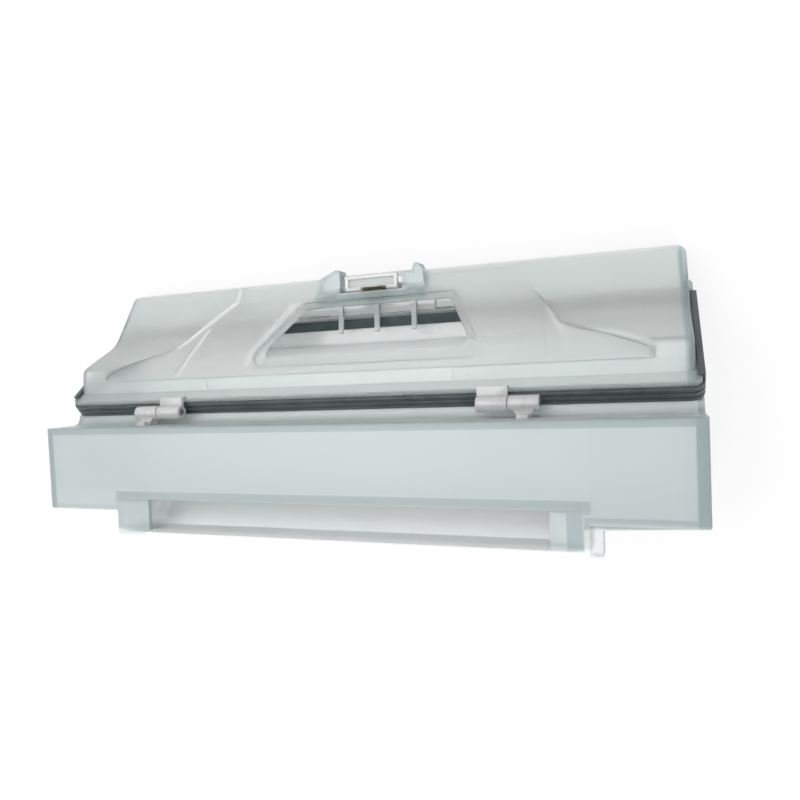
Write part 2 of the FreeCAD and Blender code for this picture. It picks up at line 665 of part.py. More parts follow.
def make_recesses():
    """The notches below the fold, and the shallow recess on the upper slope."""
    near_z, top_z = size("lid_near_z") - size("notch_deep"), size("panel_z")
    low, high, half = size("notch_low_y"), size("field_low_y") - size("fold_land"), size("notch_wide") / 2
    recesses = [box((x - half, low, near_z), (x + half, high, top_z))
                for x in (size("notch_left_x"), size("notch_right_x"))]
    recesses.append(box((size("notch_right_x"), high - size("strip_wide"), near_z),
                        (size("strip_end_x"), high, top_z)))
    x, y, pull_half, wide = size("pull_x"), size("pull_y"), size("pull_half"), size("pull_wide")
    pull = box((x - pull_half, y - wide / 2, 0), (x + pull_half, y + wide / 2, top_z))
    recesses.append(pull.common(over_slope(size("pull_deep"))))
    return recesses


def make_ears(low):
    """The two ears beside the latch bay: both tips fall off steeply to the right."""
    x, bay, ear = size("latch_x"), size("bay_half"), size("ear_wide")
    shoulder, tip_y, tip_half = size("ear_shoulder_y"), size("ear_y"), size("ear_tip_half")
    run, tip_round = size("ear_tip_run"), size("ear_tip_round")
    left_tip, right_tip = x - size("left_tip"), x + size("right_tip")
    left = [(x - bay - ear, low), (x - bay, low), (x - bay, size("bay_top_y")),
            (left_tip + tip_half, tip_y), (left_tip - tip_half, tip_y), (x - bay - ear, shoulder)]
    right = [(x + bay, low), (x + bay + ear, low), (x + bay + ear, shoulder - tip_round),
             (right_tip + run, shoulder), (right_tip + tip_half, tip_y), (right_tip - tip_half, tip_y),
             (right_tip - run, shoulder), (x + bay, shoulder)]
    left_rounds = [0, 0, 0, tip_round, tip_round, tip_round]
    right_rounds = [0, 0, 0, 0, tip_round, tip_round, tip_round, 0]
    far_z, front = size("lid_far_z"), size("bay_front_z")
    return [along_z(left, left_rounds, far_z, front), along_z(right, right_rounds, far_z, front)]


def make_shelf(low):
    """The shelf inside the window's upper edge, with its wedge and three fingers over the seal."""
    far_z, wall = size("lid_far_z"), size("lid_wall")
    shelf_low, shelf_z = lid_rim_at(far_z), far_z + size("shelf_high")
    edge = rim_point(rim_length - size("seal_wide") + size("seal_proud"), lid_off + wall)[0]
    edge_z = far_z + (shelf_low - edge) * math.sin(slope) / math.cos(slope)
    shelf = along_x([(edge, edge_z), (edge, shelf_z), (low, shelf_z), (low, far_z), (shelf_low, far_z)],
                    [0] * 5, size("shelf_half"), size("shelf_x"))
    x, half, tip_z = size("knob_x"), size("knob_half"), shelf_z + size("knob_high")
    knob_y = edge + size("knob_long")
    knob = along_z([(x, edge), (x + half, knob_y), (x - half, knob_y)], [0] * 3, edge_z, tip_z)
    finger_z, tip, tip_y = far_z + size("finger_high"), size("finger_tip"), size("finger_low_y")
    finger = [(low, far_z + wall), (low, finger_z), (tip_y, finger_z + tip), (tip_y, finger_z),
              (shelf_low, finger_z - tip), (shelf_low, far_z + wall)]
    fingers = [along_x(finger, [0, 0, tip / 3, tip / 3, 0, 0], size("finger_thick") / 2,
                       size("finger_x") + i * size("finger_step")) for i in (-1, 0, 1)]
    return [shelf, knob] + fingers


def make_lid():
    wall, over = size("lid_wall"), size("over")
    outer, hollow = make_lid_shell()
    # The filter seat: a tub sunk into the field, with a ledge all round the window.
    seat, deep = size("seat_wide"), size("seat_deep")
    tub = window_prism(seat + wall).common(under_field(wall / 2)).cut(under_field(deep + wall))
    sink = window_prism(seat).cut(under_field(deep))
    hole = window_prism(0).cut(under_field(deep + 2 * wall))
    # The latch bay: a box let into the top edge, open to the front, the top and the back.
    x, bay = size("latch_x"), size("bay_half")
    low, top = size("bay_low_y"), size("bay_top_y")
    far_z, panel_z = size("lid_far_z"), size("panel_z")
    bay_walls = box((x - bay - wall, low - wall, far_z), (x + bay + wall, size("top_y"), panel_z)).common(outer)
    bay_space = box((x - bay, low, -over), (x + bay, top + over, panel_z))
    bridge = box((x - bay - wall, top - wall, far_z), (x + bay + wall, top, far_z + size("bridge_high")))
    boss_reach = size("lever_half") + size("boss_gap")
    along = FreeCAD.Vector(1, 0, 0)
    bosses = [Part.makeCylinder(size("boss_radius"), bay - boss_reach + wall,
                                FreeCAD.Vector(start, size("axle_y"), size("axle_z")), along)
              for start in (x - bay - wall, x + boss_reach)]
    reach = bay + size("axle_seat")
    axle_hole = Part.makeCylinder(size("axle_radius") + size("pin_fit"), 2 * reach,
                                  FreeCAD.Vector(x - reach, size("axle_y"), size("axle_z")), along)
    lid = outer.cut(hollow).fuse([tub, bay_walls, make_flange()] + make_ears(low) + make_creases())
    lid = lid.cut([sink, hole, bay_space] + make_recesses())
    lid = lid.fuse([bridge] + bosses + make_shelf(low - wall)).cut(axle_hole)
    return lid.removeSplitter()


def add_feature(label, shape):
    feature = doc.addObject("Part::Feature", label)
    feature.Label = label
    feature.Shape = shape
    to_middle = FreeCAD.Placement(FreeCAD.Vector(0, -middle, 0), FreeCAD.Rotation())
    feature.Placement = to_middle.multiply(shape.Placement)
    return feature


def primitive(kind, name, sizes, places, turn=None):
    """A Part primitive whose sizes and place are bound to the sheet."""
    thing = doc.addObject(kind, name)
    if turn:
        thing.Placement = FreeCAD.Placement(FreeCAD.Vector(0, 0, 0), turn)
    for prop, expression in sizes.items():
        thing.setExpression(prop, expression)
    for axis, expression in zip("xyz", places):
        thing.setExpression("Placement.Base." + axis, expression)
    return thing


def rod(name, radius, length, places):
    """A round bar along X."""
    across = FreeCAD.Rotation(FreeCAD.Vector(0, 1, 0), 90)
    return primitive("Part::Cylinder", name, {"Radius": radius, "Height": length}, places, across)


def slab(name, lengths, places):
    return primitive("Part::Box", name, dict(zip(("Length", "Width", "Height"), lengths)), places)


def bar(name, turn, axis, lift, corners, length):
    """A prism from an outline whose corners are bound to the sheet."""
    face = doc.addObject("Sketcher::SketchObject", name + "_outline")
    outline(face, corners)
    face.Placement = FreeCAD.Placement(FreeCAD.Vector(0, 0, 0), turn)
    face.setExpression("Placement.Base." + axis, lift)
    prism = doc.addObject("Part::Extrusion", name)
    prism.Base = face
    prism.DirMode = "Normal"
    prism.Solid = True
    prism.setExpression("LengthFwd", length)
    return prism


def join(name, pieces):
    union = doc.addObject("Part::MultiFuse", name)
    union.Shapes = pieces
    union.Refine = True
    return union


def subtract(name, base, tool):
    cut = doc.addObject("Part::Cut", name)
    cut.Base = base
    cut.Tool = tool
    return cut


# Hinges: clear brackets on the ledge and on the lid, with a steel pin through both barrels.
def make_hinge(side, outward):
    if outward < 0:
        meet = "(d.%s_hinge_inset - d.tray_half)" % side
        tray_x = "%s - d.hinge_gap / 2 - d.tray_barrel" % meet
        lid_x = "%s + d.hinge_gap / 2" % meet
        pin_x = tray_x
    else:
        meet = "(d.tray_half - d.%s_hinge_inset)" % side
        tray_x = "%s + d.hinge_gap / 2" % meet
        lid_x = "%s - d.hinge_gap / 2 - d.lid_barrel" % meet
        pin_x = lid_x
    bore = "d.pin_radius + d.pin_fit"

    # The web of the tray's bracket narrows from its barrel to a foot on the wall over the cove.
    ledge_z = "d.cove_z + d.cove_round + d.rim_gap"
    foot_x = "%s + (d.tray_barrel - d.foot_wide) / 2" % tray_x
    barrel = rod(side + "_tray_barrel", "d.barrel_radius", "d.tray_barrel", (tray_x, "d.pin_y", "d.pin_z"))
    web = bar(side + "_tray_web", FreeCAD.Rotation(), "z", "d.pin_z", [
        (foot_x, "0"), (foot_x + " + d.foot_wide", "0"),
        (tray_x + " + d.tray_barrel - d.web_inset", "d.pin_y"),
        (tray_x + " + d.web_inset", "d.pin_y")], "d.barrel_radius - d.web_drop")
    foot = slab(side + "_tray_foot", ("d.foot_wide", "d.leaf_thick", "d.foot_deep"), (foot_x, "0", ledge_z))
    hole = rod(side + "_tray_bore", bore, "d.tray_barrel + 2 * d.over",
               (tray_x + " - d.over", "d.pin_y", "d.pin_z"))
    tray_half = subtract(side + "_tray_hinge", join(side + "_tray_leaf", [barrel, web, foot]), hole)

    # The leaf of the lid's bracket reaches over the seal and stands on the lid's flange.
    flange_off = "(d.rim_gap + d.seal_thick + d.lid_wall)"
    near_y = "(%s + d.flange_near * %s + %s * %s)" % (RIM_Y, ALONG_Y, flange_off, ALONG_Z)
    near_z = "(d.cove_z - d.flange_near * %s + %s * %s)" % (ALONG_Z, flange_off, ALONG_Y)
    far_y, far_z = "%s + d.leaf_seat * %s" % (near_y, ALONG_Y), "%s - d.leaf_seat * %s" % (near_z, ALONG_Z)
    barrel = rod(side + "_lid_barrel", "d.barrel_radius", "d.lid_barrel", (lid_x, "d.pin_y", "d.pin_z"))
    leaf = bar(side + "_lid_leaf", FreeCAD.Rotation(FreeCAD.Vector(1, 1, 1), 120), "x", lid_x, [
        ("d.pin_y", "d.pin_z - d.leaf_thick"), (near_y, "d.pin_z - d.leaf_thick"), (near_y, near_z),
        (far_y, far_z), (far_y, "d.pin_z"), ("d.pin_y", "d.pin_z")], "d.lid_barrel")
    hole = rod(side + "_lid_bore", bore, "d.lid_barrel + 2 * d.over",
               (lid_x + " - d.over", "d.pin_y", "d.pin_z"))
    lid_half = subtract(side + "_lid_hinge", join(side + "_lid_strap", [barrel, leaf]), hole)

    pin = rod(side + "_hinge_pin", "d.pin_radius", "d.tray_barrel + d.lid_barrel + d.hinge_gap",
              (pin_x, "d.pin_y - " + MIDDLE, "d.pin_z"))
    return [shift_to_middle(tray_half), shift_to_middle(lid_half), pin]


# Latch: a clear rocking lever on a thin axle, with a finger pad in front and a hooked arm behind.
def make_latch():
    left = "d.latch_x - d.lever_half"
    coil_half = "(d.spring_long / 2 + d.spring_gap)"
    knuckle = "d.lever_half - %s" % coil_half
    web_y = "d.axle_y - d.lever_web / 2"
    web_high = "d.axle_z + d.pad_rise + d.lever_thick - d.arm_z"
    parts = []
    for side, start in (("left", left), ("right", "d.latch_x + " + coil_half)):
        parts.append(rod(side + "_knuckle", "d.knuckle_radius", knuckle, (start, "d.axle_y", "d.axle_z")))
        parts.append(slab(side + "_web", (knuckle, "d.lever_web", web_high), (start, web_y, "d.arm_z")))
    parts.append(slab("finger_pad", ("2 * d.lever_half", "d.lever_top_y - (%s)" % web_y, "d.lever_thick"),
                      (left, web_y, "d.axle_z + d.pad_rise")))
    parts.append(slab("arm_root", ("2 * d.lever_half", "d.arm_root", "d.arm_thick"),
                      (left, web_y + " + d.lever_web - d.arm_root", "d.arm_z")))
    hook_y = "(%s + d.hook_gap)" % RIM_END_Y
    parts.append(slab("latch_arm", ("2 * d.arm_half", "d.axle_y - " + hook_y, "d.arm_thick"),
                      ("d.latch_x - d.arm_half", hook_y, "d.arm_z")))
    parts.append(slab("hook", ("2 * d.arm_half", "d.hook_long", "d.arm_thick + d.hook_high"),
                      ("d.latch_x - d.arm_half", hook_y, "d.arm_z")))
    hole = rod("lever_bore", "d.axle_radius + d.pin_fit", "2 * (d.lever_half + d.over)",
               (left + " - d.over", "d.axle_y", "d.axle_z"))
    lever = subtract("latch_lever", join("lever_blank", parts), hole)
    axle_half = "(d.bay_half + d.axle_seat - d.axle_end_gap)"
    axle = rod("latch_axle", "d.axle_radius", "2 * " + axle_half,
               ("d.latch_x - " + axle_half, "d.axle_y - " + MIDDLE, "d.axle_z"))
    return [shift_to_middle(lever), axle]


def make_spring():
    """The close coil of the latch's torsion spring: a sleeve with one ridge for each turn."""
    wire, length, turns = size("spring_wire"), size("spring_long"), int(size("spring_turns"))
    inner = size("axle_radius") + size("spring_fit")
    pitch = length / turns
    start = size("latch_x") - length / 2
    profile = [(start, inner), (start, inner + wire / 2)]
    for turn in range(turns):
        profile.append((start + (turn + 0.5) * pitch, inner + wire))
        profile.append((start + (turn + 1) * pitch, inner + wire / 2))
    profile.append((start + length, inner))
    y, z = size("axle_y"), size("axle_z")
    points = [FreeCAD.Vector(along, y, z + radius) for along, radius in profile]
    face = Part.Face(Part.makePolygon(points + points[:1]))
    return face.revolve(FreeCAD.Vector(0, y, z), FreeCAD.Vector(1, 0, 0), 360)


features = [make_tray(), make_seal(), add_feature("lid", make_lid())]
features += make_hinge("left", -1) + make_hinge("right", 1) + make_latch()
features.append(add_feature("latch_spring", make_spring()))
doc.recompute()

for thing in doc.Objects:
    if "Invalid" in thing.State or "Error" in thing.State:
        raise RuntimeError("%s failed: %s" % (thing.Label, thing.State))
os.makedirs("parts", exist_ok=True)
for thing in features:
    shape = thing.Shape
    if shape.isNull() or not shape.isValid() or not shape.Solids:
        raise RuntimeError("%s has no valid solid" % thing.Label)
    shape.exportStep("parts/%s.step" % thing.Label)
    print("%-16s solids %d, volume %.2f cm3" % (thing.Label, len(shape.Solids), shape.Volume / 1000))
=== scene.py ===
# %% [markdown]
# # Dust bin of a robot vacuum
# The real thing is a low, long tray of frosted plastic that lies on its flat back. A wave-shaped lid of
# the same plastic closes its slanted opening, with a black rubber seal between them, two clear hinges
# on the ledge and a small rocking latch at the far edge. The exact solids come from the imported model,
# so this lesson begins with them and adds the finish, and the pieces that are too fine for a solid.

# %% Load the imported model
import math
import bpy
from mathutils import Matrix, Vector


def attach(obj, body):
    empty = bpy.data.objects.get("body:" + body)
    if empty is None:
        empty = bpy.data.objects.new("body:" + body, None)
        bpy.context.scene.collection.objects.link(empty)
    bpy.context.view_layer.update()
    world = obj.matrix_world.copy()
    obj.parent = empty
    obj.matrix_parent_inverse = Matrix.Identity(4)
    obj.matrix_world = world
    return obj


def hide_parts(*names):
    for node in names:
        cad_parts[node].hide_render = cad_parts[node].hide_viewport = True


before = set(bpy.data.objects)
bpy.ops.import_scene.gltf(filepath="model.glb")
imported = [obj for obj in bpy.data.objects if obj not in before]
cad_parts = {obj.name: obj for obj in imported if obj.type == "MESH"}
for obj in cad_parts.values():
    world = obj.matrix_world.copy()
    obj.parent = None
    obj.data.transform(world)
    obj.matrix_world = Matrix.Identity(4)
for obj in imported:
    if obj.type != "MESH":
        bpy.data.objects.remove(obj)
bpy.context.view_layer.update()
print("nodes:", ", ".join(sorted(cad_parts)))

# %% [markdown]
# Two small helpers serve every finish. Colours are written as a designer notes them, in sRGB hex, and
# Blender computes in linear light, so one function converts them. The other adds a shader node, sets its
# values and makes its links in one line, which keeps each recipe short enough to read as a recipe.

# %% Colour and node helpers
MM = 0.001


def linear(code):
    """sRGB hex such as "c9d3d1" to linear red, green, blue and alpha."""
    values = [int(code[i:i + 2], 16) / 255 for i in (0, 2, 4)]
    return tuple(v / 12.92 if v <= 0.04045 else ((v + 0.055) / 1.055) ** 2.4 for v in values) + (1.0,)


def add_node(tree, kind, settings=None, **inputs):
    """Add a node: settings are its properties, inputs are sockets by name, as a value or another socket."""
    node = tree.nodes.new(kind)
    for name, value in (settings or {}).items():
        setattr(node, name, value)
    for name, value in inputs.items():
        socket = node.inputs[int(name[1:])] if name[0] == "i" and name[1:].isdigit() else node.inputs[
            name.replace("_", " ")]
        if isinstance(value, bpy.types.NodeSocket):
            tree.links.new(value, socket)
        else:
            socket.default_value = value
    return node


def new_material(name):
    """An empty node material with its output."""
    material = bpy.data.materials.new(name)
    material.use_nodes = True
    material.node_tree.nodes.clear()
    output = material.node_tree.nodes.new("ShaderNodeOutputMaterial")
    return material, material.node_tree, output


def per_metre(size_mm):
    """The scale of a pattern in Object coordinates, which are metres, for a grain of that size."""
    return 1.0 / (size_mm * MM)


def ramp(tree, factor, stops):
    """A colour ramp: stops are pairs of position and sRGB hex."""
    node = add_node(tree, "ShaderNodeValToRGB", i0=factor)
    while len(node.color_ramp.elements) < len(stops):
        node.color_ramp.elements.new(0.5)
    for element, (place, code) in zip(node.color_ramp.elements, stops):
        element.position = place
        element.color = linear(code)
    return node


print("a grain of 0.6 mm has the scale", round(per_metre(0.6)))

# %% [markdown]
# ## Frosted plastic
# Tray and lid are injection-moulded from a clear styrene plastic in a mould with a spark-eroded, matt
# inside. Light goes through, but the etched faces scatter it, so that what lies behind shows as a soft
# shade. A Principled shader with half of its weight in transmission, or more on the thinner lid, and a broad
# roughness gives that scatter. The rest is subsurface light, which goes a few millimetres sideways through
# the wall and makes it glow evenly. Noise stretched along the bin stands for the flow of the melt, and a
# fine bump for the etching, whose real grain of about 0.1 mm is drawn at 0.7 mm, or it would vanish
# between two pixels.
#
# Where another wall stands square behind the surface, light has to cross more plastic, and the surface
# looks darker and a little bluer. The photograph shows that as a border round the panel and the mouth.
# This shade is painted into the colour by place: boxes in Object coordinates with soft sides, joined by the
# larger value. The same boxes paint shade on the ledge and cove, under the latch bay, on the ears, on the end
# walls, on the front wall and round the mouth, and darken the whole panel a little. Where a crease or an edge
# runs through the wall, the plastic catches the light and turns milky instead, which is painted along lines
# in the same way.

# %% Masks by place


def fading(tree, distance, near, far):
    """1 up to a distance of near, and 0 from far on, both in mm, with a smooth change between."""
    edge = add_node(tree, "ShaderNodeMapRange", {"interpolation_type": "SMOOTHSTEP"}, Value=distance,
                    From_Min=near * MM, From_Max=far * MM, To_Min=1.0, To_Max=0.0)
    return edge.outputs["Result"]


def inside(tree, place, low, high, soft):
    """1 inside a box given in mm, and 0 outside, with a soft change at its sides."""
    middle = tuple((a + b) / 2 * MM for a, b in zip(low, high))
    half = tuple((b - a) / 2 * MM for a, b in zip(low, high))
    offset = add_node(tree, "ShaderNodeVectorMath", {"operation": "SUBTRACT"}, i0=place, i1=middle)
    distance = add_node(tree, "ShaderNodeVectorMath", {"operation": "ABSOLUTE"}, i0=offset.outputs[0])
    beyond = add_node(tree, "ShaderNodeVectorMath", {"operation": "SUBTRACT"}, i0=distance.outputs[0],
                      i1=half)
    sides = add_node(tree, "ShaderNodeSeparateXYZ", Vector=beyond.outputs[0])
    wide = add_node(tree, "ShaderNodeMath", {"operation": "MAXIMUM"}, i0=sides.outputs[0],
                    i1=sides.outputs[1])
    most = add_node(tree, "ShaderNodeMath", {"operation": "MAXIMUM"}, i0=wide.outputs[0], i1=sides.outputs[2])
    return fading(tree, most.outputs[0], -soft / 2, soft / 2)


def near_line(tree, place, start, end, wide, soft):
    """1 within half the width of a line from start to end, seen from above and in mm, and 0 farther off."""
    run = Vector((end[0] - start[0], end[1] - start[1], 0)) * MM
    flat = add_node(tree, "ShaderNodeVectorMath", {"operation": "MULTIPLY"}, i0=place, i1=(1, 1, 0))
    offset = add_node(tree, "ShaderNodeVectorMath", {"operation": "SUBTRACT"}, i0=flat.outputs[0],
                      i1=(start[0] * MM, start[1] * MM, 0))
    share = add_node(tree, "ShaderNodeVectorMath", {"operation": "DOT_PRODUCT"}, i0=offset.outputs[0],
                     i1=run / run.length_squared)
    on_line = add_node(tree, "ShaderNodeClamp", Value=share.outputs["Value"])
    foot = add_node(tree, "ShaderNodeVectorMath", {"operation": "SCALE"}, i0=run, Scale=on_line.outputs[0])
    away = add_node(tree, "ShaderNodeVectorMath", {"operation": "DISTANCE"}, i0=offset.outputs[0],
                    i1=foot.outputs[0])
    return fading(tree, away.outputs["Value"], (wide - soft) / 2, (wide + soft) / 2)


def any_of(tree, place, boxes, lines=()):
    """The largest of the masks of several boxes and lines, each at its own strength."""
    masks = [(strength, inside(tree, place, low, high, soft)) for strength, soft, low, high in boxes]
    masks += [(strength, near_line(tree, place, start, end, wide, soft))
              for strength, soft, wide, start, end in lines]
    total = 0.0
    for strength, mask in masks:
        part = add_node(tree, "ShaderNodeMath", {"operation": "MULTIPLY"}, i0=mask, i1=strength)
        total = add_node(tree, "ShaderNodeMath", {"operation": "MAXIMUM"}, i0=total,
                         i1=part.outputs[0]).outputs[0]
    return total


print("masks ready")

# %% Places on the tray
# Each place paints shade into the colour of the plastic: strength, softness in mm, lowest and highest corner
# in mm.
TRAY_PAINTED_SHADE = (
    (0.85, 1.0, (-150, -13.9, 68), (150, -9, 75)),        # along the top of the panel
    (0.90, 1.8, (-150, -49.2, 68), (-140.8, -9, 75)),     # its left end
    (1.00, 1.6, (140.4, -49.2, 68), (150, -9, 75)),       # its right end, where the end wall stands behind
    (0.55, 1.2, (-150, -50, 68), (-103, -45.8, 75)),      # lower edge left of the mouth
    (0.80, 1.2, (103, -50, 68), (150, -45.4, 75)),        # lower edge right of the mouth
    (0.75, 1.6, (-106, -45.0, 57), (106, -39.4, 75)),     # roof of the mouth
    (0.50, 1.2, (-106, -61, 60), (-89.5, -42, 72.5)),     # left end of the mouth with its sloped wall
    (0.80, 1.4, (96.6, -58, 60), (103.0, -42, 75)),       # right end of the mouth
    (0.40, 1.2, (89.5, -58, 60), (96.6, -42, 71.8)),      # and its sloped wall
    (0.25, 0.6, (-150, -10.5, 40), (150, 10, 71.6)),      # ledge and cove
    (0.48, 1.0, (-150, -39.4, 66), (150, -9, 75)),        # the panel itself, with more painted shade than the mouth
    (0.42, 1.0, (-150, -49.2, 66), (-105, -9, 75)),
    (0.50, 1.0, (105, -49.2, 66), (150, -9, 75)),
    (0.70, 1.0, (-150, -70, -2), (-142.5, 60, 68)),       # end walls
    (0.70, 1.0, (142.5, -70, -2), (150, 60, 68)),
    (0.60, 1.0, (-150, -70, -2), (150, -46, 42.3)),       # front wall below the mouth and beside it
    (0.60, 1.0, (-150, -70, -2), (-106, -46, 68)),
    (0.60, 1.0, (108, -70, -2), (150, -46, 68)),
    (0.50, 1.0, (-106, -70, 40), (108, -59.3, 70.0)),     # front of the mouth
    (0.45, 1.0, (-106, -59.3, 40), (108, -53.0, 49.0)))   # its slanted underside
TRAY_CLEAR = (
    (1.0, 1.0, (-143, -46, -2), (143, 30, 3.5)),)         # the thin flat back
TRAY_MILKY = (
    (1.0, 1.0, (-106, -63, 66), (106, -57, 75)),          # the lip under the mouth
    (1.0, 2.0, (-95, -57.5, 35), (95, -44, 66)))          # the floor of the mouth
print("shaded places on the tray:", len(TRAY_PAINTED_SHADE))

# %% Places on the lid
# Each box paints shade into the colour of the lid: at its end walls, under the latch bay, on the ears and on
# the flat strip beside the seal.
LID_PAINTED_SHADE = (
    (0.6, 1.4, (139.2, -20, -5), (150, 70, 60)),          # right end wall
    (0.9, 0.8, (-150, -20, -5), (-141.3, 70, 60)),        # left end wall
    (0.6, 3.0, (-27, 43.6, -5), (30, 48.2, 25)),          # under the latch bay
    (0.5, 3.0, (-27, 48.0, -5), (30, 62, 25)),            # ears
    (0.12, 1.0, (-150, -2.5, 46), (150, 10.6, 60)))       # the flat strip beside the near seal
LID_CLEAR = (
    (0.3, 4.0, (-200, 40, -5), (200, 80, 60)),)           # the gentle slope over the far seal
# Each line: strength, softness and width in mm, and its two ends, seen from above.
LID_LINES = (
    (0.9, 1.2, 2.8, (-92.8, 26.6), (-79.0, 41.5)),        # side of the raised field
    (0.9, 1.2, 2.8, (-79.0, 41.5), (-72.5, 48.5)),
    (0.6, 1.5, 2.4, (-72.5, 48.5), (-72.5, 55.0)),
    (0.8, 1.0, 2.0, (-80.7, 34.0), (-84.4, 18.5)),        # crease beside the window
    (0.6, 1.0, 1.6, (-84.4, 18.5), (-84.2, 12.0)),
    (0.6, 2.0, 9.0, (-47.0, 19.0), (-36.0, 41.5)),        # left wall of the filter seat
    (0.4, 1.0, 2.0, (87.5, 32.5), (95.5, 21.0)))          # crease on the right
print("shaded places on the lid:", len(LID_PAINTED_SHADE), "and milky lines:", len(LID_LINES))

# %% Make the frosted plastic
FLOW_SIZE, GRAIN_SIZE, GRAIN_DEPTH = 24.0, 0.7, 0.05   # mm
SPREAD = 3.0                                           # way of the light inside the wall, mm
CLEAREST, MILKIEST = 0.95, 0.4                         # transmission if clear, share left of it if milky
ROUGH_SWING = 0.05


def frosted_plastic(name, colours, see_through, roughness, painted_shade_boxes, clear, milky=(), lines=()):
    """Frosted plastic in its tint and haze, with painted shade in its shade colour laid on by boxes, and
    boxes and lines for where it is clearer or milkier.
    """
    tint, haze, shade = colours
    material, tree, output = new_material(name)
    place = add_node(tree, "ShaderNodeTexCoord").outputs["Object"]
    flow_place = add_node(tree, "ShaderNodeMapping", Vector=place, Scale=(0.25, 1.0, 1.0))
    flow = add_node(tree, "ShaderNodeTexNoise", Vector=flow_place.outputs["Vector"],
                    Scale=per_metre(FLOW_SIZE), Detail=3.0, Roughness=0.55)
    grain = add_node(tree, "ShaderNodeTexNoise", Vector=place, Scale=per_metre(GRAIN_SIZE), Detail=2.0)
    colour = ramp(tree, flow.outputs["Fac"], [(0.1, haze), (0.9, tint)])
    # Painted shade: the boxes mix the darker shade colour into the plastic's own tint.
    shaded = add_node(tree, "ShaderNodeMix", {"data_type": "RGBA"}, i0=any_of(tree, place, painted_shade_boxes),
                      i6=colour.outputs["Color"], i7=linear(shade))
    clearer = add_node(tree, "ShaderNodeMapRange", Value=any_of(tree, place, clear),
                       To_Min=see_through, To_Max=CLEAREST)
    milkier = add_node(tree, "ShaderNodeMapRange", Value=any_of(tree, place, milky, lines),
                       To_Min=1.0, To_Max=MILKIEST)
    passed = add_node(tree, "ShaderNodeMath", {"operation": "MULTIPLY"}, i0=clearer.outputs["Result"],
                      i1=milkier.outputs["Result"])
    rough = add_node(tree, "ShaderNodeMapRange", Value=flow.outputs["Fac"], From_Min=0.1, From_Max=0.9,
                     To_Min=roughness - ROUGH_SWING, To_Max=roughness + ROUGH_SWING)
    etched = add_node(tree, "ShaderNodeBump", Height=grain.outputs["Fac"], Strength=0.12,
                      Distance=GRAIN_DEPTH * MM)
    shader = add_node(tree, "ShaderNodeBsdfPrincipled", Base_Color=shaded.outputs[2],
                      Roughness=rough.outputs["Result"], Normal=etched.outputs["Normal"], IOR=1.49)
    tree.links.new(passed.outputs[0], shader.inputs["Transmission Weight"])
    shader.inputs["Subsurface Weight"].default_value = 1.0
    shader.inputs["Subsurface Radius"].default_value = (1.0, 1.0, 1.0)
    shader.inputs["Subsurface Scale"].default_value = SPREAD * MM
    tree.links.new(shader.outputs["BSDF"], output.inputs["Surface"])
    return material


# The third colour of each plastic is the painted shade that its boxes lay on.
tray_plastic = frosted_plastic("styrene_frosted_tray", ("f8fcfb", "f2f7f6", "b2bfc1"), 0.50, 0.35,
                               TRAY_PAINTED_SHADE, TRAY_CLEAR, milky=TRAY_MILKY)
lid_plastic = frosted_plastic("styrene_frosted_lid", ("f7fcfa", "f1f7f5", "b0bfc2"), 0.72, 0.34,
                              LID_PAINTED_SHADE, LID_CLEAR, lines=LID_LINES)
print("made", tray_plastic.name, "and", lid_plastic.name)

# %% [markdown]
# ## Clear plastic
# Hinges and latch lever are small mouldings of clear polycarbonate. Thick clear plastic over a black seal
# would turn black if it were flawless, but the real pieces look silvery, because moulding flow, sink
# marks and handling scatter part of the light. So the gloss is a little worn, about two fifths of the
# weight is left to the surface, and hair-fine scratches go into the roughness as a stretched noise. They
# are drawn 0.8 mm apart, far coarser than real ones, or they wouldn't show.

# %% Make the clear plastic
SCRATCH_SIZE = 0.8                       # mm
SCRATCH_SMOOTH, SCRATCH_ROUGH = 0.12, 0.22


def clear_plastic(name, tint, cloud, see_through):
    material, tree, output = new_material(name)
    place = add_node(tree, "ShaderNodeTexCoord").outputs["Object"]
    hair = add_node(tree, "ShaderNodeMapping", Vector=place, Scale=(1.0, 0.12, 0.4))
    scratches = add_node(tree, "ShaderNodeTexNoise", Vector=hair.outputs["Vector"],
                         Scale=per_metre(SCRATCH_SIZE), Detail=4.0)
    rough = add_node(tree, "ShaderNodeMapRange", Value=scratches.outputs["Fac"], From_Min=0.2, From_Max=0.8,
                     To_Min=SCRATCH_SMOOTH, To_Max=SCRATCH_ROUGH)
    colour = ramp(tree, scratches.outputs["Fac"], [(0.3, cloud), (0.7, tint)])
    shader = add_node(tree, "ShaderNodeBsdfPrincipled", Base_Color=colour.outputs["Color"],
                      Roughness=rough.outputs["Result"], IOR=1.58)
    shader.inputs["Transmission Weight"].default_value = see_through
    tree.links.new(shader.outputs["BSDF"], output.inputs["Surface"])
    return material


hinge_plastic = clear_plastic("polycarbonate_clear", "fdfefe", "eceeed", 0.60)
# The lever's dish is coloured darker: painted shade in its recess.
dish_painted_shade = clear_plastic("polycarbonate_dish_painted_shade", "bcc4c0", "aeb6b2", 0.45)
print("made", hinge_plastic.name, "and", dish_painted_shade.name)

# %% [markdown]
# ## Rubber of the seal
# The seal is black EPDM rubber, extruded and glued to a ring. Its skin is satin, neither dull nor shiny,
# with a slight bloom of grey dust in it. The bloom is a noise between two dark greys, and the skin's
# fine unevenness a bump.

# %% Make the rubber


